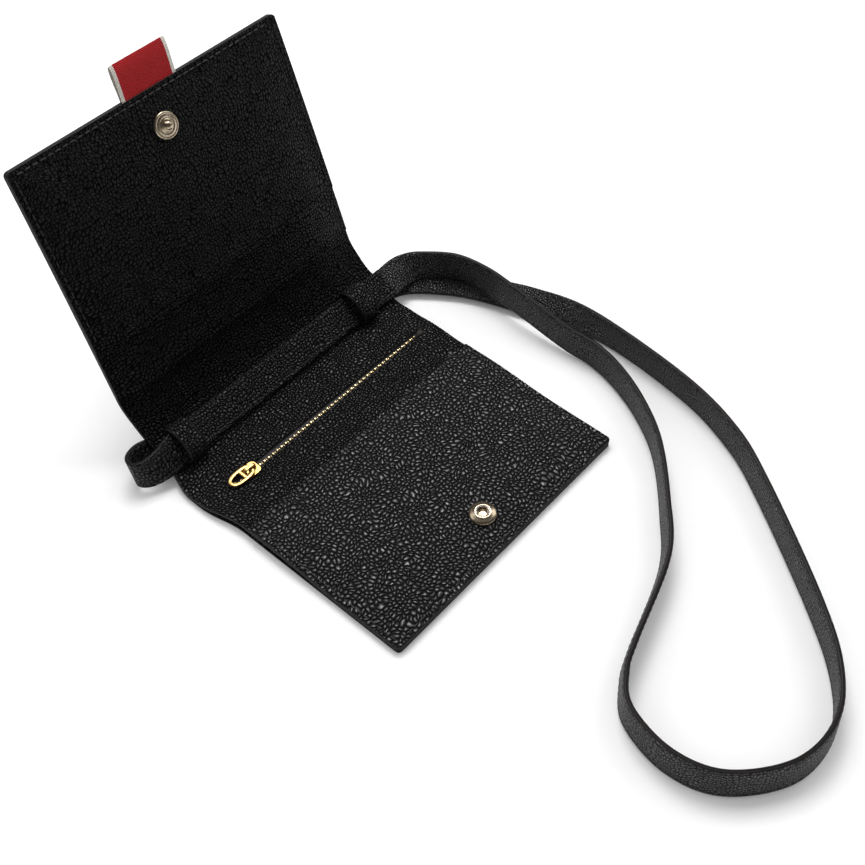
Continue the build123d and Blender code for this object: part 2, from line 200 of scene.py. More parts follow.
# ---- Node materials ----
class Nodes:
    """A wrapper that keeps the node tree of a material or world readable."""

    def __init__(self, owner, shader="Principled BSDF"):
        owner.use_nodes = True
        self.owner = owner
        self.tree = owner.node_tree
        self.shader = self.tree.nodes[shader]

    def add(self, kind, inputs=None, **settings):
        node = self.tree.nodes.new("ShaderNode" + kind)
        for key, value in settings.items():
            setattr(node, key, value)
        for key, value in (inputs or {}).items():
            self.put(node.inputs[key], value)
        return node

    def put(self, socket, value):
        if isinstance(value, bpy.types.NodeSocket):
            self.tree.links.new(value, socket)
        else:
            socket.default_value = value

    def uv(self):
        return self.add("UVMap").outputs["UV"]

    def position(self):
        return self.add("TexCoord").outputs["Object"]

    def noise(self, vector, scale, detail, output="Fac", **inputs):
        inputs = {"Vector": vector, "Scale": scale, "Detail": detail, **inputs}
        return self.add("TexNoise", inputs).outputs[output]

    def wave(self, vector, scale, distortion, direction):
        inputs = {"Vector": vector, "Scale": scale, "Distortion": distortion}
        return self.add("TexWave", inputs, bands_direction=direction).outputs["Fac"]

    def stretch(self, vector, scale):
        return self.add("Mapping", {"Vector": vector, "Scale": scale}).outputs[0]

    def scale(self, vector, factor):
        return self.add("VectorMath", {0: vector, "Scale": factor}, operation="SCALE").outputs[0]

    def shift(self, vector, by):
        return self.add("VectorMath", {0: vector, 1: by}, operation="ADD").outputs[0]

    def math(self, operation, a, b=0.0, clamp=False):
        return self.add("Math", {0: a, 1: b}, operation=operation, use_clamp=clamp).outputs[0]

    def ramp(self, value, stops):
        node = self.add("ValToRGB", {"Fac": value})
        for element, (at, colour) in zip(node.color_ramp.elements, stops):
            element.position = at
            element.color = (*colour, 1)
        return node.outputs["Color"]

    def spread(self, value, a, b):
        return self.add("MapRange", {"Value": value, "To Min": a, "To Max": b}).outputs["Result"]

    def bump(self, height, distance, strength=1.0, under=None):
        inputs = {"Height": height, "Distance": distance, "Strength": strength}
        if under is not None:
            inputs["Normal"] = under
        return self.add("Bump", inputs).outputs["Normal"]

    def finish(self, **values):
        for key, value in values.items():
            self.put(self.shader.inputs[key.replace("_", " ")], value)
        return self.owner


def surface(name):
    return Nodes(bpy.data.materials.new(name))


def dimmed(colour, lightness):
    return tuple(c * lightness for c in colour)


def pebbled_leather(name, pebble, lightness=1.0, depth=0.3, shine=1.0):
    """Pebble-grain leather: rounded grains, fine pores and glossier, worn grain tops; its colour is
    painted dark in the creases as painted shade and light on the grain tops as painted light.

    pebble is the distance between grains and depth is their height, in millimetres."""
    m = surface(name)
    uv = m.uv()
    flow = m.scale(m.noise(uv, 0.11, 1.0, "Color"), 5.0)
    ripple = m.scale(m.noise(uv, 0.8 / pebble, 1.0, "Color"), 0.6 * pebble)
    grains = {"Vector": m.shift(m.shift(uv, flow), ripple), "Scale": 1 / pebble, "Randomness": 0.8}
    edge, cell = (m.add("TexVoronoi", grains, feature=feature, voronoi_dimensions="2D").outputs
                  for feature in ("DISTANCE_TO_EDGE", "F1"))
    fall = m.math("POWER", m.math("MULTIPLY", cell["Distance"], 1.3, clamp=True), 1.7)
    dome = m.spread(fall, 1.0, 0.0)
    slope = m.math("SUBTRACT", 1.0, m.math("MULTIPLY", edge["Distance"], 2.6, clamp=True))
    crease = m.math("SUBTRACT", 1.0, m.math("POWER", slope, 2.2))
    tall = m.spread(m.add("SeparateColor", {"Color": cell["Color"]}).outputs[0], 0.7, 1.0)
    height = m.math("MULTIPLY", m.math("MULTIPLY", m.spread(dome, 0.25, 1.0), crease), tall)
    pores = m.noise(uv, 5.0, 4.0, Roughness=0.65)
    wear = m.spread(m.noise(uv, 0.05, 3.0), 0.7, 1.35)
    # Painted shade and light: the ramp on height below gives the creases the dark colour and the
    # grain tops the light one, standing in for shade between the grains and light on their tops.
    valley = dimmed((0.0012, 0.0011, 0.0013), lightness)
    top = dimmed((0.0135, 0.013, 0.0142), lightness)
    return m.finish(
        Base_Color=m.scale(m.ramp(height, [(0.25, valley), (0.92, top)]), wear),
        Roughness=m.math("ADD", m.spread(height, 0.58, 0.34), m.spread(pores, -0.06, 0.08)),
        Normal=m.bump(pores, 0.03 * MM, 0.8, m.bump(height, depth * MM)),
        Specular_IOR_Level=m.spread(height, 0.05 * shine, 0.8 * shine))


def edge_paint(name, lightness=1.0):
    """Painted leather edge: brown-black lacquer over two layers, slightly uneven."""
    m = surface(name)
    grain = m.noise(m.position(), 900.0, 4.0)
    dark = dimmed((0.0045, 0.0032, 0.0031), lightness)
    light = dimmed((0.013, 0.009, 0.0085), lightness)
    return m.finish(Base_Color=m.ramp(grain, [(0.3, dark), (0.75, light)]),
                    Roughness=m.spread(grain, 0.42, 0.62),
                    Normal=m.bump(grain, 0.06 * MM, 0.8), Specular_IOR_Level=0.22)


def thread(name):
    """Waxed black thread with a twist."""
    m = surface(name)
    twist = m.wave(m.position(), 900.0, 1.0, "DIAGONAL")
    colour = m.ramp(twist, [(0.2, (0.004, 0.004, 0.0045)), (0.8, (0.016, 0.016, 0.018))])
    return m.finish(Base_Color=colour, Roughness=0.55, Normal=m.bump(twist, 0.05 * MM, 0.8))


WAVES = 0.314                   # scale of a wave texture that repeats once per unit


def weave(name, dark, light, pitch, depth=0.06, rough=0.8):
    """Plain woven cloth from two crossing sets of yarn, pitch millimetres apart."""
    m = surface(name)
    uv = m.uv()
    yarns = [m.wave(uv, WAVES / pitch, 0.4, direction) for direction in "XY"]
    height = m.math("MULTIPLY", *yarns)
    fuzz = m.spread(m.noise(uv, 9.0, 3.0), 0.7, 1.2)
    colour = m.ramp(m.math("MULTIPLY", height, fuzz), [(0.05, dark), (0.7, light)])
    return m.finish(Base_Color=colour, Roughness=rough, Normal=m.bump(height, depth * MM),
                    Sheen_Weight=0.15)


def metal(name, colour, worn, rough=0.2):
    """Plated metal with fine scratches and a slightly dulled, darker plating in patches."""
    m = surface(name)
    position = m.position()
    scratch = m.noise(m.stretch(position, (900, 6000, 6000)), 1.0, 3.0)
    patch = m.noise(position, 350.0, 3.0)
    roughness = m.math("ADD", m.spread(scratch, rough - 0.06, rough + 0.1),
                       m.spread(patch, 0.05, 0.0))
    return m.finish(Base_Color=m.ramp(patch, [(0.35, worn), (0.65, colour)]), Metallic=1.0,
                    Roughness=roughness, Normal=m.bump(scratch, 0.01 * MM, 0.5))


def grosgrain(name):
    """Ribbed crimson ribbon with a narrow ivory selvedge at both sides.

    Its uv is x by distance along it, in millimetres."""
    m = surface(name)
    uv = m.uv()
    rib_pitch, selvedge_at = 0.55, 10.6
    ribs = m.wave(uv, WAVES / rib_pitch, 0.15, "Y")
    yarn = m.noise(m.stretch(uv, (9, 1.5, 1)), 1.0, 3.0)
    side = m.math("ABSOLUTE", m.add("SeparateXYZ", {"Vector": uv}).outputs["X"])
    mix = m.add("Mix", {"Factor": m.math("GREATER_THAN", side, selvedge_at)}, data_type="RGBA")
    crimson = [(0.3, (0.26, 0.002, 0.004)), (0.7, (0.48, 0.003, 0.007))]
    ivory = [(0.3, (0.55, 0.52, 0.46)), (0.7, (0.80, 0.77, 0.70))]
    m.put(mix.inputs["A"], m.ramp(yarn, crimson))
    m.put(mix.inputs["B"], m.ramp(yarn, ivory))
    height = m.math("ADD", ribs, m.math("MULTIPLY", yarn, 0.35))
    return m.finish(Base_Color=mix.outputs["Result"], Roughness=0.7, Sheen_Weight=0.04,
                    Specular_IOR_Level=0.2, Normal=m.bump(height, 0.3 * MM))


FRONT_LEATHER = pebbled_leather("front_leather", 1.65, 1.15, 0.65, 1.4)
FACING_LEATHER = pebbled_leather("facing_leather", 1.3, 0.65, 0.6, 0.8)
FLAP_LEATHER = pebbled_leather("flap_leather", 1.3, 0.6, 0.5, 0.28)
COVER_LEATHER = pebbled_leather("cover_leather", 1.5, 0.9, 0.5)
STRAP_LEATHER = pebbled_leather("strap_leather", 1.05, 2.3, 0.45, 1.5)
EDGE = edge_paint("edge_paint")
# Edge paint made four times lighter for the pockets' open mouths: a painted highlight along those
# edges.
MOUTH_HIGHLIGHT_EDGE = edge_paint("pocket_mouth_highlight_edge", 4.0)
THREAD = thread("black_thread")
LINING = weave("lining_cloth", (0.004, 0.004, 0.005), (0.02, 0.02, 0.022), 0.45)
TAPE = weave("zip_tape_cloth", (0.008, 0.006, 0.007), (0.035, 0.028, 0.03), 0.55, 0.08, 0.7)
BOARD = weave("fibre_board", (0.05, 0.045, 0.04), (0.11, 0.1, 0.09), 0.9, 0.03, 0.9)
GOLD = metal("gold_plate", (0.62, 0.40, 0.15), (0.45, 0.27, 0.09), 0.27)
TEETH = metal("zip_teeth_gold", (0.80, 0.66, 0.38), (0.62, 0.48, 0.24), 0.3)
CHAMPAGNE = metal("champagne_plate", (0.66, 0.56, 0.42), (0.50, 0.40, 0.28), 0.24)
STEEL = metal("spring_steel", (0.62, 0.61, 0.59), (0.45, 0.44, 0.42), 0.28)
RIBBON = grosgrain("crimson_grosgrain")


# ---- Mesh building ----
def linked(name, data):
    obj = bpy.data.objects.new(name, data)
    bpy.context.scene.collection.objects.link(obj)
    return obj


def make_object(name, points, faces, uvs=None, slots=(), face_slots=None):
    """A smooth-shaded object from millimetre points; uvs are per point, in millimetres."""
    mesh = bpy.data.meshes.new(name)
    mesh.from_pydata((np.asarray(points) * MM).tolist(), [], faces)
    for material in slots:
        mesh.materials.append(material)
    if face_slots is not None:
        mesh.polygons.foreach_set("material_index", np.asarray(face_slots, np.int32))
    mesh.polygons.foreach_set("use_smooth", np.ones(len(mesh.polygons), bool))
    if uvs is not None:
        layer = mesh.uv_layers.new(name="UVMap")
        corner = np.zeros(len(mesh.loops), np.int32)
        mesh.loops.foreach_get("vertex_index", corner)
        layer.data.foreach_set("uv", np.asarray(uvs, np.float32)[corner].ravel())
    mesh.update()
    mesh.set_sharp_from_angle(angle=math.radians(50))
    return linked(name, mesh)


ROW_STEP = 2.0
RIM_RADIUS, RIM = 0.42, 2.5     # a sheet's edge rounding, and the width of its turned-down rim
GROOVE_IN, GROOVE_DEPTH, GROOVE_WIDTH = 2.0, 0.2, 0.55      # the sewn groove beside the edges
CREASE_IN, CREASE_DEPTH, CREASE_WIDTH = 1.2, 0.35, 0.35     # the crease beside a pocket's mouth
GAPE, GAPE_REACH = 0.9, 4.5                                 # how a pocket's mouth stands open


def rounded_rows(v0, v1, round_low, round_high, extra):
    """Row positions between v0 and v1, closer together where the corners are rounded."""
    curve = [CORNER * (1 - math.sin(k * math.pi / 12)) for k in range(7)]
    start = v0 + (CORNER if round_low else 0)
    end = v1 - (CORNER if round_high else 0)
    rows = list(np.linspace(start, end, max(2, int((end - start) / ROW_STEP) + 1)))
    if round_low:
        rows += [v0 + c for c in curve]
    if round_high:
        rows += [v1 - c for c in curve]
    rows += list(extra)
    return np.array(sorted(set(np.round(rows, 4))))


def window_taper(x, v, window):
    """How the upper lip of a zip's opening stands off the chain near the closed slider.

    It closes in towards the far end."""
    inside = (x > window[0] - 0.1) & (x < window[1] + 0.1)
    lip = np.where(inside, smoothstep(window[1], window[0], x), 0)
    return (1.1 * lip - 0.75) * dent(v - window[3], 1.3)


def dent(distance, width):
    """1 on a line and 0 away from it."""
    return np.exp(-(distance / width) ** 2)


def slab(name, v_range, n_range, materials, half=HALF, free=(False, False), drop=0.0, lift=False,
         window=None, groove=True, mouth=None):
    """A leather or cloth layer that follows the open wallet's surface.

    free says which ends (low v, high v) have rounded corners. drop turns the rim down by that
    much. window is (x0, x1, v0, v1), an opening right through. mouth is the end (v0 or v1) that
    is creased beside its open edge. materials are for the face, edge, underside and mouth."""
    (v0, v1), (n0, n1) = v_range, n_range
    across = np.concatenate([np.linspace(-1, -0.9, 5), np.linspace(-0.88, 0.88, 45),
                             np.linspace(0.9, 1, 5)])
    extra = ()
    if window:
        across = np.concatenate([across, np.array(window[:2]) / half])
        across = np.array(sorted(set(np.round(across, 5))))
        extra = window[2:]
    if mouth is not None:
        inward = 1 if mouth == v0 else -1
        extra = [mouth + inward * t for t in (0.5, 0.8, 1.0, 1.2, 1.5, 1.9)]
    rows = rounded_rows(v0, v1, *free, extra)
    radius = min(RIM_RADIUS, (n1 - n0) / 2)

    def outline(s, v, inset):
        ends = (v0 + inset if free[0] else v0, v1 - inset if free[1] else v1)
        v = ends[0] + (ends[1] - ends[0]) * (v - v0) / (v1 - v0)
        width = half - inset + 0 * v
        corner = max(CORNER - inset, 0.3)
        for is_free, end, sign in ((free[0], ends[0], -1), (free[1], ends[1], 1)):
            if is_free:
                into = np.clip(sign * (v - end) + corner, 0, corner)
                width = width - corner + np.sqrt(np.maximum(corner ** 2 - into ** 2, 0))
        return s * width, v

    grid_s, grid_v = np.meshgrid(across, rows)
    ns, nv = len(across), len(rows)
    border = [(i, 0) for i in range(ns)] + [(ns - 1, j) for j in range(1, nv)]
    border += [(i, nv - 1) for i in range(ns - 2, -1, -1)] + [(0, j) for j in range(nv - 2, 0, -1)]
    border_s = np.array([across[i] for i, j in border])
    border_v = np.array([rows[j] for i, j in border])
    points, uvs = [], []

    def add(x, v, n, is_border):
        x, v = np.ravel(x), np.ravel(v)
        n = np.full(len(x), float(n))
        if groove and not is_border and n[0] == n1:
            side = half - np.abs(x)
            if free[0]:
                side = np.minimum(side, v - v0)
            if free[1]:
                side = np.minimum(side, v1 - v)
            n = n - GROOVE_DEPTH * dent(side - GROOVE_IN, GROOVE_WIDTH)
        if mouth is not None:
            if not is_border and n.max() > n0 + 0.1:
                n = n - CREASE_DEPTH * dent(np.abs(v - mouth) - CREASE_IN, CREASE_WIDTH)
            n = n + GAPE * dent(v - mouth, GAPE_REACH) * (1 - (x / half) ** 6)
        if window:
            v = v + window_taper(x, v, window)
        points.extend(place(x, v, n, lift))
        uvs.extend(np.stack([x, v], -1))

    add(*outline(grid_s, grid_v, radius), n1, False)
    quarter = [k * math.pi / 8 for k in range(1, 5)]
    rings = [(radius * (1 - math.sin(a)), n1 - radius * (1 - math.cos(a))) for a in quarter]
    foot = n0 - drop
    rings += [(radius * (1 - math.cos(a)), foot + radius * (1 - math.sin(a)))
              for a in [0.0] + quarter]
    under_inset = radius
    if drop:
        rings += [(RIM, foot), (RIM, n0)]
        under_inset = RIM
    for inset, n in rings:
        add(*outline(border_s, border_v, inset), n, True)
    add(*outline(grid_s, grid_v, under_inset), n0, True)

    count = len(border)
    first_ring = ns * nv
    under = first_ring + len(rings) * count
    faces, face_slots = [], []

    def cut(i, j):
        if not window or i < 0 or j < 0 or i >= ns - 1 or j >= nv - 1:
            return False
        x = (across[i] + across[i + 1]) / 2 * half
        v = (rows[j] + rows[j + 1]) / 2
        return window[0] < x < window[1] and window[2] < v < window[3]

    for j in range(nv - 1):
        for i in range(ns - 1):
            a = j * ns + i
            b, c, d = a + 1, a + ns + 1, a + ns
            if cut(i, j):
                sides = (((i, j - 1), a, b), ((i + 1, j), b, c),
                         ((i, j + 1), c, d), ((i - 1, j), d, a))
                for neighbour, p, q in sides:
                    if not cut(*neighbour):
                        faces.append((q, p, under + p, under + q))
                        face_slots.append(1)
                continue
            faces.append((a, b, c, d))
            face_slots.append(0)
            faces.append((under + d, under + c, under + b, under + a))
            face_slots.append(2 if len(materials) > 2 else 0)
    loops = [[j * ns + i for i, j in border]]
    loops += [[first_ring + k * count + m for m in range(count)] for k in range(len(rings))]
    loops.append([under + j * ns + i for i, j in border])
    for k, (upper, lower) in enumerate(zip(loops, loops[1:])):
        for m in range(count):
            q = (m + 1) % count
            faces.append((upper[q], upper[m], lower[m], lower[q]))
            at_mouth = mouth is not None and np.abs(border_v[[m, q]] - mouth).max() < 0.01
            face_slots.append(len(materials) - 1 if at_mouth else 0 if k == 0 else 1)
    return make_object(name, points, faces, uvs, materials, face_slots)


def loft(name, loops, uvs, materials, slot_of, closed=False):
    """A skin over same-sized closed loops of points. slot_of gives each side's material slot."""
    loops = np.asarray(loops)
    count, sides = loops.shape[:2]
    faces = tube(0, count, sides, closed)
    slots = slot_of * count if closed else slot_of * (count - 1) + [1, 1]
    uvs = np.asarray(uvs).reshape(-1, 2)
    return make_object(name, loops.reshape(-1, 3), faces, uvs, materials, slots)


def tube(base, count, sides, closed=False):
    """The faces over count loops of points from number base on, with caps unless it's closed."""
    faces = []
    for i in range(count if closed else count - 1):
        here, after = base + i * sides, base + (i + 1) % count * sides
        for j in range(sides):
            q = (j + 1) % sides
            faces.append((here + j, here + q, after + q, after + j))
    if not closed:
        last = base + (count - 1) * sides
        faces += [tuple(range(base + sides - 1, base - 1, -1)), tuple(range(last, last + sides))]
    return faces


def lathe(name, profile, centre, axis, material):
    """A turned part from (radius, height) points along axis through centre."""
    turn = Vector(axis).normalized().to_track_quat("Z", "Y").to_matrix()
    segments = 72
    points = []
    for r, h in profile:
        for k in range(segments):
            a = 2 * math.pi * k / segments
            points.append(Vector(centre) + turn @ Vector((r * math.cos(a), r * math.sin(a), h)))
    obj = make_object(name, points, tube(0, len(profile), segments), None, [material])
    obj.data.polygons[-1].use_smooth = False
    obj.data.polygons[-2].use_smooth = False
    return obj


def capsule_points(start, end, radius, up):
    """Points and faces of one stitch: a stretched bead between two points."""
    rings, sides = 5, 6
    start, end, up = Vector(start), Vector(end), Vector(up)
    along = (end - start).normalized()
    across = along.cross(up).normalized()
    middle, half = (start + end) / 2, (end - start).length / 2
    points = []
    for i in range(rings):
        a = math.pi * (0.08 + 0.84 * i / (rings - 1))
        for k in range(sides):
            b = 2 * math.pi * k / sides
            r = radius * math.sin(a) ** 0.6
            points.append(middle - along * half * math.cos(a) + across * r * math.cos(b)
                          + up * r * math.sin(b))
    return points, tube(0, rings, sides)


def stitched(name, segments, radius):
    """One object with a stitch for each (start, end, up)."""
    points, faces = [], []
    for start, end, up in segments:
        more, shape = capsule_points(start, end, radius, up)
        faces += [tuple(i + len(points) for i in f) for f in shape]
        points += more
    return make_object(name, points, faces, None, [THREAD])


def panel_stitches(name, free_v, open_v, n, lift):
    """Stitches 2 mm inside three sides of a panel."""
    pitch, length, radius, sunk, margin = 3.1, 2.3, 0.27, 0.02, 2.0
    x_side = HALF - margin
    inward = 1 if open_v > free_v else -1
    v_end = free_v + inward * margin
    rows = [((-x_side + 1, v_end), (x_side - 1, v_end))]
    rows += [((x, v_end + inward), (x, open_v)) for x in (-x_side, x_side)]
    starts, ends = [], []
    for a, b in rows:
        a, b = np.array(a, float), np.array(b, float)
        total = np.linalg.norm(b - a)
        step = (b - a) / total * length / 2
        for k in range(int(total / pitch)):
            middle = a + (b - a) * ((k + 0.5) * pitch / total)
            starts.append(middle - step)
            ends.append(middle + step)
    starts, ends = np.array(starts), np.array(ends)
    first, second = (place(*spots.T, n - sunk, lift) for spots in (starts, ends))
    up = place(*starts.T, n + 1, lift) - first
    up /= np.linalg.norm(up, axis=1, keepdims=True)
    return stitched(name, zip(first, second, up), radius)


def bend_at_first_fold(obj):
    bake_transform(obj)


def bend_at_second_fold(obj):
    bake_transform(obj)


def finish_piece(obj, material_slot, *nodes, body=None):
    """Hides the CAD nodes that a piece stands for, and attaches it to the body that it rides on.
    material_slot is not used.
    """
    if body:
        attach(obj, body)
    if nodes:
        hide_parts(*nodes)


def inner_sheet(name, v_range, n_range, material, body):
    """A board or lining that is hidden inside a panel."""
    free = (True, False) if body == "front_panel" else (False, True)
    return slab(name, v_range, n_range, [material] * 2, HALF - INNER_MARGIN, free, groove=False)


def front_panel_pieces():
    body, free = "front_panel", (True, False)
    cover = slab("front_cover_leather", (-FRONT, MIDDLE + OVERLAP), (-FOLD_Z, -FOLD_Z + COVER),
                 [COVER_LEATHER, EDGE], free=free, groove=False)
    bend_at_first_fold(cover)
    finish_piece(cover, "cover_leather", "front_cover", "spine_cover")
    window = (INNER_CHAIN[0] - 4, INNER_CHAIN[1] + 3, ZIP_V - WINDOW_LOW, ZIP_V + WINDOW_HIGH)
    facing = slab("zip_pocket_leather", (-FRONT, MIDDLE + OVERLAP), (-LEATHER, 0),
                  [FACING_LEATHER, EDGE], free=free, drop=0.8, lift=True, groove=False,
                  window=window)
    bend_at_first_fold(facing)
    finish_piece(facing, "pocket_leather", "zip_pocket_front", "zip_upper_facing", "spine_lining")
    slip = slab("slip_pocket_leather", (-FRONT, SLIP_V), (SLIP_TOP - LEATHER, SLIP_TOP),
                [FRONT_LEATHER, EDGE, FRONT_LEATHER, MOUTH_HIGHLIGHT_EDGE], free=free, drop=0.3, lift=True,
                mouth=SLIP_V)
    finish_piece(slip, "pocket_leather", "slip_pocket_front", body=body)
    lining = inner_sheet("front_lining_cloth", (-FRONT + 2, -2), FRONT_LINING, LINING, body)
    finish_piece(lining, "lining_fabric", "zip_pocket_lining", body=body)
    board = inner_sheet("front_board", (-FRONT + 3, -3), FRONT_BOARD, BOARD, body)
    finish_piece(board, "stiffener_board", "front_stiffener", body=body)
    stitches = panel_stitches("front_panel_stitches", -FRONT, SLIP_V - 1, SLIP_TOP, True)
    finish_piece(stitches, "thread", "front_stitching", body=body)


def flap_pieces():
    body, free = "flap", (False, True)
    zip_v = SPINE - ZIP_V
    window = (OUTER_CHAIN[0] - 3, OUTER_CHAIN[1] + 3, zip_v - WINDOW_HIGH, zip_v + WINDOW_HIGH)
    cover = slab("back_cover_leather", (MIDDLE - OVERLAP, FLAP_END),
                 (BACK_OUTER, BACK_OUTER + COVER), [COVER_LEATHER, EDGE], free=free, groove=False,
                 window=window)
    bend_at_second_fold(cover)
    finish_piece(cover, "cover_leather", "back_cover")
    base = slab("card_base_leather", (MIDDLE - OVERLAP, FLAP_END), CARD_BASE,
                [FLAP_LEATHER, EDGE], free=free, drop=0.9, groove=False)
    bend_at_second_fold(base)
    finish_piece(base, "pocket_leather", "card_slot_base")
    for which, mouth, under in zip(("lower", "upper"), CARD_MOUTHS, CARD_UNDERS):
        pocket = slab(f"card_pocket_{which}", (SPINE + mouth, FLAP_END), (under, under + CARD),
                      [FLAP_LEATHER, EDGE, FLAP_LEATHER, MOUTH_HIGHLIGHT_EDGE], free=free, drop=0.25,
                      groove=which == "upper", mouth=SPINE + mouth)
        finish_piece(pocket, "pocket_leather", f"card_slot_{which}", body=body)
    board = inner_sheet("flap_board", (SPINE + 4, FLAP_END - 3), FLAP_BOARD, BOARD, body)
    finish_piece(board, "stiffener_board", "back_stiffener", body=body)
    lining = inner_sheet("flap_lining_cloth", (SPINE + 4, FLAP_END - 2), FLAP_LINING, LINING, body)
    finish_piece(lining, "lining_fabric", "back_zip_lining", body=body)
    stitches = panel_stitches("flap_stitches", FLAP_END, SPINE + CARD_MOUTHS[1] + 1,
                              CARD_UNDERS[1] + CARD, False)
    finish_piece(stitches, "thread", "flap_stitching", body=body)


# ---- Zips ----
def teeth(name, chain, v, n, outward, node, body):
    """Interlocked metal teeth; every second one is mostly hidden under its neighbours."""
    profile = [(-0.5, 0), (-0.5, 0.5), (-0.3, 0.85), (0.3, 0.85), (0.5, 0.5), (0.5, 0)]
    sections = ((-0.42, 0.6), (-0.24, 1.0), (0.24, 1.0), (0.42, 0.6))
    spots, faces = [], []
    for k in range(int((chain[1] - chain[0]) / TOOTH_STEP)):
        x = chain[0] + (k + 0.5) * TOOTH_STEP
        side, height, length = (0.2, 0.35, 0.6) if k % 2 else (-0.1, 1.0, 1.0)
        base = len(spots)
        for dx, shrink in sections:
            spots += [(x + dx * length, v + side + pv * shrink, n + outward * pn * shrink * height)
                      for pv, pn in profile]
        faces += tube(base, len(sections), len(profile))
    obj = make_object(name, place(*np.array(spots).T), faces, None, [TEETH])
    finish_piece(obj, "zip_metal", node, body=body)


def stops(name, chain, v, n, outward, node, body):
    """A crimped bar at each end of the chain."""
    offset, width, height, half_length = 1.2, 0.6, 0.7, 1.3
    rows, sides = 9, 7
    spots, faces = [], []
    for x in (chain[0] - offset, chain[1] + offset):
        base = len(spots)
        for pv in np.linspace(-half_length, half_length, rows):
            spots += [(x - width * math.cos(a), v + pv, n + outward * height * math.sin(a))
                      for a in np.linspace(0, math.pi, sides)]
        faces += tube(base, rows, sides)
    obj = make_object(name, place(*np.array(spots).T), faces, None, [GOLD])
    finish_piece(obj, "zip_metal", node, body=body)


def zip_pieces():
    for which, v, chain, n, outward, body in (
            ("inner", ZIP_V, INNER_CHAIN, -LEATHER - TAPE_THICK, 1, "front_panel"),
            ("outer", SPINE - ZIP_V, OUTER_CHAIN, OUTER_TAPE, -1, "flap")):
        tape_n = sorted((n, n + outward * TAPE_THICK))
        for side, part, nodes in ((-1, "near", [f"{which}_zip_tape"]), (1, "far", [])):
            tape_v = sorted((v + side * TAPE_GAP, v + side * TAPE_REACH))
            tape = slab(f"{which}_zip_tape_{part}", tape_v, tape_n, [TAPE, TAPE], TAPE_HALF,
                        groove=False)
            finish_piece(tape, "zip_tape", *nodes, body=body)
        seat = n + outward * CHAIN_SEAT
        teeth(f"{which}_zip_chain", chain, v, seat, outward, f"{which}_zip_teeth", body)
        stops(f"{which}_zip_end_stops", chain, v, seat, outward, f"{which}_zip_stops", body)


def shifted_copy(name, node, body, offset):
    """A gold piece with a CAD node's own shape, moved with the sagging leather and softened."""
    mesh = frame["nodes"][node].data.copy()
    mesh.transform(Matrix.Translation(Vector(offset) * MM))
    mesh.materials.clear()
    mesh.materials.append(GOLD)
    obj = linked(name, mesh)
    soften(obj)
    finish_piece(obj, "zip_metal", node, body=body)


def soften(obj):
    """Rounds a CAD part's hard edges so that they catch the light."""
    weld = obj.modifiers.new("weld", "WELD")
    weld.merge_threshold = 0.002 * MM
    bevel = obj.modifiers.new("edges", "BEVEL")
    bevel.width = 0.12 * MM
    bevel.segments = 2
    bevel.limit_method = "ANGLE"
    bevel.angle_limit = math.radians(35)
    bevel.harden_normals = True


def signed_power(value, power):
    return math.copysign(abs(value) ** power, value)


def puller(name, to_frame, body):
    """A rounded loop of gold wire with a crossbar, drawn about the slider's middle."""
    end_x, half_y, crossbar_x, crossbar_half = -9.2, 2.35, -3.5, 1.9
    wire_half, wire_height = 0.75, 0.42
    middle, reach = (PULLER_BAR + end_x) / 2, (PULLER_BAR - end_x) / 2
    points, faces = [], []
    steps, sides = 48, 10

    def wire(path, closed):
        base = len(points)
        path = np.array(path)
        run = np.roll(path, -1, 0) - np.roll(path, 1, 0) if closed else np.gradient(path, axis=0)
        run /= np.linalg.norm(run, axis=1, keepdims=True)
        for (x, y), (rx, ry) in zip(path, run):
            for j in range(sides):
                a = 2 * math.pi * j / sides
                w = wire_half * signed_power(math.cos(a), 0.7)
                h = wire_height * signed_power(math.sin(a), 0.7)
                points.append(to_frame(x - ry * w, y + rx * w, h))
        faces.extend(face[::-1] for face in tube(base, len(path), sides, closed))

    outline = []
    for k in range(steps):
        a = 2 * math.pi * k / steps
        c, si = math.cos(a), math.sin(a)
        squareness = 0.55 if c > 0 else 0.95
        outline.append((middle + reach * signed_power(c, squareness),
                        half_y * signed_power(si, 0.7)))
    wire(outline, True)
    wire([(crossbar_x, y) for y in np.linspace(-crossbar_half, crossbar_half, 5)], False)
    obj = make_object(name, points, faces, None, [GOLD])
    finish_piece(obj, "zip_metal", body, body=body)


def slider_pieces():
    for node in ("inner_slider_body", "inner_slider_bridge"):
        soften(frame["nodes"][node])
    pivot = JOINT_AT["inner_puller_swing"]
    puller("inner_puller_loop", lambda x, y, z: pivot + Vector((x - PULLER_BAR, y, z)),
           "inner_puller")
    zip_v = SPINE - ZIP_V
    sag = place(low("outer_slider_body").x + 4, zip_v, 0) - place(0, zip_v, 0)
    offset = (0, sag[1], sag[2])
    for node in ("outer_slider_body", "outer_slider_bridge"):
        shifted_copy(node + "_gold", node, "outer_slider", offset)
    hung = JOINT_AT["outer_puller_swing"] + Vector(offset)
    flap_c, flap_s = math.cos(FLAP_ANGLE), math.sin(FLAP_ANGLE)
    hang_c, hang_s = math.cos(PULLER_HANG), math.sin(PULLER_HANG)

    def hanging(x, y, z):
        x -= PULLER_BAR
        x, z = x * hang_c + z * hang_s, z * hang_c - x * hang_s
        return hung.x + x, hung.y - y * flap_c + z * flap_s, hung.z - y * flap_s - z * flap_c

    puller("outer_puller_loop", hanging, "outer_puller")


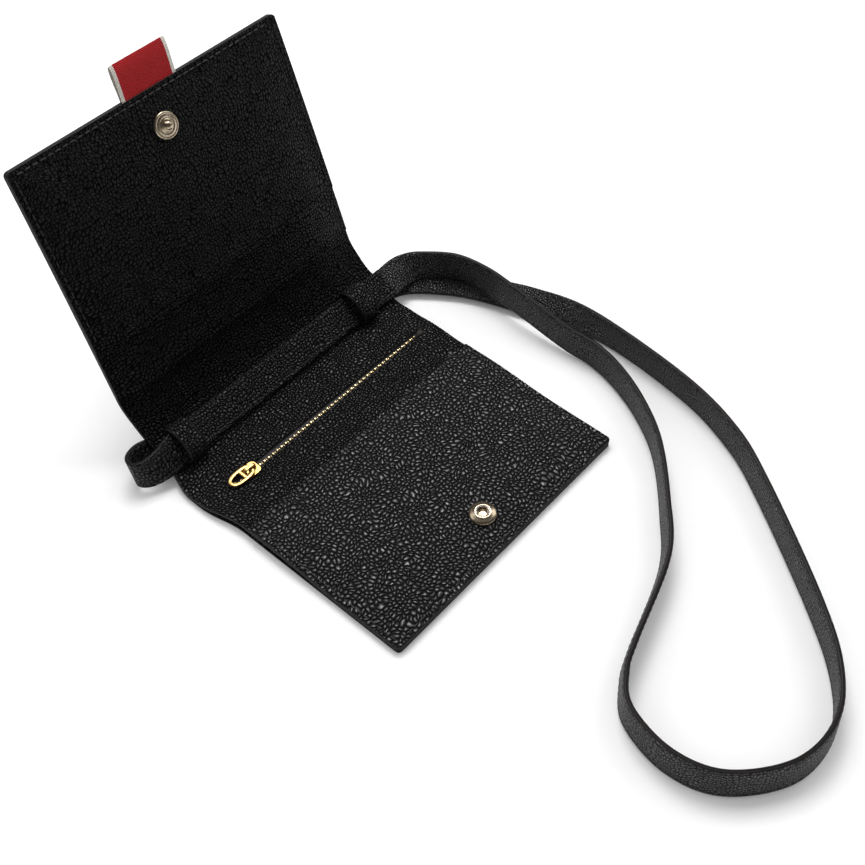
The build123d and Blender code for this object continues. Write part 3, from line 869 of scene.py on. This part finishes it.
# ---- Snap ----
def snap_pieces():
    """Both halves of the press snap, turned from profiles of (radius, height)."""
    ring = [(5.0, -0.3), (5.15, 0.2), (5.15, 0.8), (5.0, 1.2), (4.6, 1.5), (4.0, 1.75), (3.4, 2.0),
            (3.05, 2.25), (2.75, 2.3), (2.5, 2.15), (2.4, 1.7), (2.35, 0.9), (2.1, 0.75),
            (1.85, 1.0), (1.6, 1.05), (1.4, 0.85), (1.3, 0.3), (0.4, 0.2)]
    socket = lathe("snap_socket_turned", ring, (0, SOCKET_Y, SOCKET_Z), (0, 0, 1), CHAMPAGNE)
    finish_piece(socket, "snap_metal", "snap_socket", body="front_panel")
    disc = [(4.9, -0.45), (4.95, 0.1), (4.8, 0.4), (4.45, 0.52), (4.1, 0.4), (3.85, 0.38),
            (3.6, 0.55), (3.2, 0.62), (2.9, 0.5), (2.6, 0.46), (2.3, 0.7), (2.0, 0.86), (1.6, 0.8),
            (1.3, 0.95), (1.25, 1.15), (1.5, 1.4), (1.6, 1.7), (1.5, 2.15), (1.2, 2.5),
            (0.7, 2.72), (0.3, 2.78)]
    v = SPINE + STUD_U
    base = place(0, v, 2.05 + bow(0, v))
    up = place(0, v, 3) - place(0, v, 2)
    stud = lathe("snap_stud_turned", disc, base, up, CHAMPAGNE)
    finish_piece(stud, "snap_metal", "snap_stud", body="flap")


# ---- Strap ----
def catmull(points, steps):
    points = np.array(points, float)
    padded = np.vstack([points[:1], points, points[-1:]])
    out = []
    for i in range(len(points) - 1):
        a, b, c, d = padded[i:i + 4]
        for t in np.arange(steps) / steps:
            out.append(0.5 * (2 * b + (c - a) * t + (2 * a - 5 * b + 4 * c - d) * t ** 2
                              + (3 * b - a - 3 * c + d) * t ** 3))
    out.append(points[-1])
    return np.array(out)


SEAM = 5.0                      # from the strap's middle to its stitches


def strap_profile():
    """The band's section as (across, through, is edge), with a groove beside each edge."""
    half_width, half = STRAP[0] / 2, STRAP[1] / 2
    crown, dip = 0.12, 0.10
    face = (-5.6, -SEAM, -4.2, -2.5, 0, 2.5, 4.2, SEAM, 5.6)
    edge = ((0.953, 0.8), (0.985, 0.5), (0.995, 0.12), (0.955, 0), (0.995, -0.12),
            (0.985, -0.5), (0.953, -0.8))
    profile = []
    for side in (1, -1):
        for a in face:
            high_here = half - crown + crown * (1 - (a / half_width) ** 2)
            profile.append((side * a, side * (high_here - (dip if abs(a) == SEAM else 0)), False))
        profile += [(side * a * half_width, side * t * half, True) for a, t in edge]
    return profile


def strap_frames(stations, first, last):
    """Centre, across and through vectors at stations (x, y, z, lean), with the end headings."""
    heading = np.gradient(stations[:, :2], axis=0)
    heading[0], heading[-1] = first, last
    heading /= np.linalg.norm(heading, axis=1, keepdims=True)
    left = np.stack([-heading[:, 1], heading[:, 0], 0 * heading[:, 0]], -1)
    lean = np.radians(stations[:, 3])[:, None]
    up = np.array([0, 0, 1.0])
    across = up * np.cos(lean) + left * np.sin(lean)
    return stations[:, :3], across, left * np.cos(lean) - up * np.sin(lean)


def strap_band(name, frames, leather=STRAP_LEATHER):
    """A strap length as one skin, and its stitches along both edges of both faces."""
    centres, across, through = frames
    profile = strap_profile()
    along = lengths(centres)
    loops, uvs = [], []
    for c, a, t, s in zip(centres, across, through, along):
        loops.append([c + a * p[0] + t * p[1] for p in profile])
        uvs.append([(s, p[0]) for p in profile])
    slots = [int(here[2] and after[2]) for here, after in zip(profile, profile[1:] + profile[:1])]
    band = loft(name, loops, uvs, [leather, EDGE], slots)
    segments = []
    pitch, length, radius, sunk = 2.6, 1.9, 0.2, 0.14
    for k in range(int(along[-1] / pitch)):
        ends = []
        for s in ((k + 0.5) * pitch - length / 2, (k + 0.5) * pitch + length / 2):
            ends.append([np.array([np.interp(s, along, m[:, i]) for i in range(3)])
                         for m in (centres, across, through)])
        for edge in (-SEAM, SEAM):
            for face in (-1, 1):
                p = [c + a * edge + t * face * (STRAP[1] / 2 - sunk) for c, a, t in ends]
                segments.append((p[0], p[1], ends[0][2] * face))
    return band, stitched(name + "_stitches", segments, radius)


def lengths(line):
    """The distance along a line of points at each of them."""
    return np.concatenate([[0], np.cumsum(np.linalg.norm(np.diff(line, axis=0), axis=1))])


def finish_strap(obj, *nodes, body=None):
    """The stitches of a band stand for no CAD node of their own."""
    if "stitches" in obj.name:
        finish_piece(obj, "thread", body=body)
    else:
        finish_piece(obj, "strap_leather", *nodes, body=body)


def strap_pieces():
    """The free loop, with a short link at each end that twists out of the spine."""
    stations = catmull(STRAP_PATH, STEPS)
    frames = strap_frames(stations, (1, 0), (-1, 0))
    last = len(stations) - 1
    seam_1, seam_2 = 3 * STEPS, last - 2 * STEPS
    spans = {"strap_link_upper": (0, seam_1), "strap_neck_loop": (seam_1, seam_2),
             "strap_link_lower": (seam_2, last)}
    for name, (first, final) in spans.items():
        for obj in strap_band(name, [part[first:final + 1] for part in frames]):
            if name == "strap_neck_loop":
                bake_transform(obj)
                finish_strap(obj, "strap_loop")
                continue
            ends = [Vector(frames[0][i]) * MM for i in (first, final)]
            if name == "strap_link_lower":
                ends.reverse()
            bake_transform(obj)
            finish_strap(obj)


def on_spine(x, v, n):
    """A point on the flat spine strip, as the strap and keepers are threaded."""
    c, s = math.cos(SPINE_ANGLE), math.sin(SPINE_ANGLE)
    return np.array([x, v * c - n * s, FOLD_Z + v * s + n * c])


def run_pieces():
    """The strap inside the spine, round its left end standing on edge, and back outside."""
    lean = math.degrees(math.pi / 2 - SPINE_ANGLE)
    end = STRAP_PATH[0][0]
    inner = [(end, STRAP_IN), (52, 1.6), (38, 1.2), (20, 1.15), (-10, 1.15), (-34, 1.2), (-44, 1.5)]
    outer = [(x, STRAP_OUT) for x in (-46, -20, 20, end)]
    turn = [(-50, 6.3, 10.4, -54), (-56, 5.4, 10.3, -42), (-62, 5.0, 9.6, -28),
            (-68, 6.2, 8.9, -14), (-71.4, 9.4, 8.3, 0), (-70, 13.2, 7.7, 12), (-65, 14.6, 7.0, 26),
            (-59, 13.0, 6.3, 42), (-53, 11.0, 5.8, 52)]
    stations = [(*on_spine(x, MIDDLE, n), -lean) for x, n in inner]
    stations += turn + [(*on_spine(x, MIDDLE, n), lean) for x, n in outer]
    frames = strap_frames(catmull(stations, STEPS), (-1, 0), (1, 0))
    for obj in strap_band("strap_spine_band", frames, FACING_LEATHER):
        finish_strap(obj, "strap_spine_run", body="spine")


def keeper_pieces():
    """Each keeper is a narrow band that arches over the strap and is sewn down beside it."""
    section = [(-0.5, 0), (-0.47, 0.35), (-0.42, 0.5), (0.42, 0.5), (0.47, 0.35), (0.5, 0),
               (0.47, -0.35), (0.42, -0.5), (-0.42, -0.5), (-0.47, -0.35)]
    slots = [1, 1, 0, 1, 1, 1, 1, 0, 1, 1]
    wall, foot, half_span, arch, sole, steps, step_length = 1.1, 0.75, 7.7, 6.6, 0.15, 64, 0.75
    for node in ("keeper_left", "keeper_right"):
        x_middle = (low(node).x + high(node).x) / 2
        width = high(node).x - low(node).x
        loops, uvs = [], []
        for k in range(steps):
            a = 2 * math.pi * k / steps
            c, si = math.cos(a), math.sin(a)
            v = MIDDLE + half_span * c
            n = foot + (arch * si ** 0.85 if si > 0 else sole * si)
            normal = Vector((c * 3.2, si * (7.0 if si > 0 else 20))).normalized()
            loops.append([on_spine(x_middle + dx * width, v + normal.x * wall * dt,
                                   n + normal.y * wall * dt) for dx, dt in section])
            uvs.append([(dx * width, k * step_length) for dx, dt in section])
        keeper = loft(node + "_band", loops, uvs, [FACING_LEATHER, EDGE], slots, closed=True)
        finish_piece(keeper, "strap_leather", node, body="spine")


# ---- Ribbon ----
def ribbon_piece():
    """A folded ribbon loop sewn into the middle of the flap's free edge.

    Its near end stays a little open."""
    half = high("ribbon_tab").x
    tip, thick = 12.5, 0.25
    path = [(-1.0, 1.0), (1.5, 1.15), (4.5, 1.45), (7.5, 1.7), (10.0, 1.55), (11.8, 0.9),
            (12.3, 0.0), (11.8, -0.9), (10.0, -1.5), (7.5, -1.6), (4.5, -1.35), (1.5, -1.05),
            (-1.0, -0.95)]
    line = catmull(path, 5)
    run = np.gradient(line, axis=0)
    run /= np.linalg.norm(run, axis=1, keepdims=True)
    widths = np.concatenate([[-half], np.linspace(-half + 0.3, half - 0.3, 25), [half]])
    loops, uvs = [], []
    for (u, n), r, s in zip(line, run, lengths(line)):
        loop, uv = [], []
        for side in (1, -1):
            for x in widths * side:
                wave = 0.25 * math.sin(x / half * 2.2) * (u / tip)
                open_side = 1 + 0.25 * (u / tip) * smoothstep(4, -12, x)
                reach = thick * side * (0.35 if abs(x) > half - 0.1 else 1.0)
                loop.append((x + 1.0 + 1.2 * u / tip, FLAP_END + u - r[1] * reach,
                             n * open_side + wave + r[0] * reach - 0.3))
                uv.append((x, s))
        loops.append(place(*np.array(loop).T))
        uvs.append(uv)
    ribbon = loft("ribbon_loop", loops, uvs, [RIBBON, RIBBON], [0] * (2 * len(widths)))
    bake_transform(ribbon)
    finish_piece(ribbon, "ribbon", "ribbon_tab")


def paint_cad_nodes():
    """CAD parts that stay shown, in their own finishes."""
    finishes = {"inner_slider_body": GOLD, "inner_slider_bridge": GOLD,
                "snap_socket_spring": STEEL, "snap_socket_rivet": CHAMPAGNE,
                "snap_stud_rivet": CHAMPAGNE}
    for node, material in finishes.items():
        mesh = frame["nodes"][node].data
        mesh.materials.clear()
        mesh.materials.append(material)


front_panel_pieces()
flap_pieces()
zip_pieces()
slider_pieces()
snap_pieces()
strap_pieces()
run_pieces()
keeper_pieces()
ribbon_piece()
paint_cad_nodes()


# ---- Floor, light and camera ----
SOFTBOX = Vector((0.29, 0.28, 0.915))       # the way to a softbox that shows only in reflections
DIFFUSE_ROOM = 0.58
LIGHT_TARGET = Vector((-0.02, -0.08, 0.0))
LENS, SENSOR = 53.27, 36.0
CAMERA_AT = (-0.2114, -0.2579, 0.3826)      # in metres
CAMERA_TURN, CAMERA_DOWN, CAMERA_ROLL = -48.68, 51.19, -0.2     # in degrees


def area_light(name, location, size, power):
    data = bpy.data.lights.new(name, "AREA")
    data.shape = "RECTANGLE"
    data.size, data.size_y = size
    data.energy = power
    light = linked(name, data)
    light.location = location
    aim = LIGHT_TARGET - light.location
    light.rotation_euler = aim.to_track_quat("-Z", "Y").to_euler()


def studio():
    half = 6.0 / MM
    corners = [(x * half, y * half, FLOOR_Z) for x, y in ((-1, -1), (1, -1), (1, 1), (-1, 1))]
    floor = make_object("floor", corners, [(0, 1, 2, 3)])
    m = surface("studio_paper")
    paper = m.ramp(m.noise(m.position(), 40.0, 4.0), [(0, (0.93,) * 3), (1, (0.96,) * 3)])
    floor.data.materials.append(m.finish(Base_Color=paper, Roughness=0.9, Specular_IOR_Level=0.0))
    # The room is dim in reflections, apart from one softbox, and even in its diffuse light.
    w = Nodes(bpy.data.worlds.new("studio"), "Background")
    towards = w.add("TexCoord").outputs["Generated"]
    facing = w.add("VectorMath", {0: towards, 1: SOFTBOX.normalized()}, operation="DOT_PRODUCT")
    reflected = w.add("MapRange", {"Value": facing.outputs["Value"], "From Min": 0.94,
                                   "From Max": 0.99, "To Min": 0.05, "To Max": 4.2},
                      interpolation_type="SMOOTHSTEP").outputs["Result"]
    glossy = w.add("LightPath").outputs["Is Glossy Ray"]
    strength = w.add("Mix", {"Factor": glossy, "A": DIFFUSE_ROOM, "B": reflected})
    bpy.context.scene.world = w.finish(Color=(1, 1, 1, 1), Strength=strength.outputs["Result"])
    area_light("overhead_softbox", (0.31, 0.30, 0.95), (0.5, 0.5), 7.0)
    area_light("side_softbox", (0.9, -0.25, 0.7), (0.5, 0.8), 2.5)
    area_light("back_softbox", (-0.5, 0.9, 0.8), (0.9, 0.7), 3.0)


def camera():
    data = bpy.data.cameras.new("camera")
    data.sensor_width = SENSOR
    data.lens = LENS
    data.clip_start = 0.01
    cam = linked("camera", data)
    turns = [Matrix.Rotation(math.radians(angle), 4, axis)
             for angle, axis in ((CAMERA_TURN, "Z"), (90 - CAMERA_DOWN, "X"), (CAMERA_ROLL, "Z"))]
    cam.matrix_world = Matrix.Translation(CAMERA_AT) @ turns[0] @ turns[1] @ turns[2]
    bpy.context.scene.camera = cam


studio()
camera()
bpy.context.scene.view_settings.view_transform = "Standard"
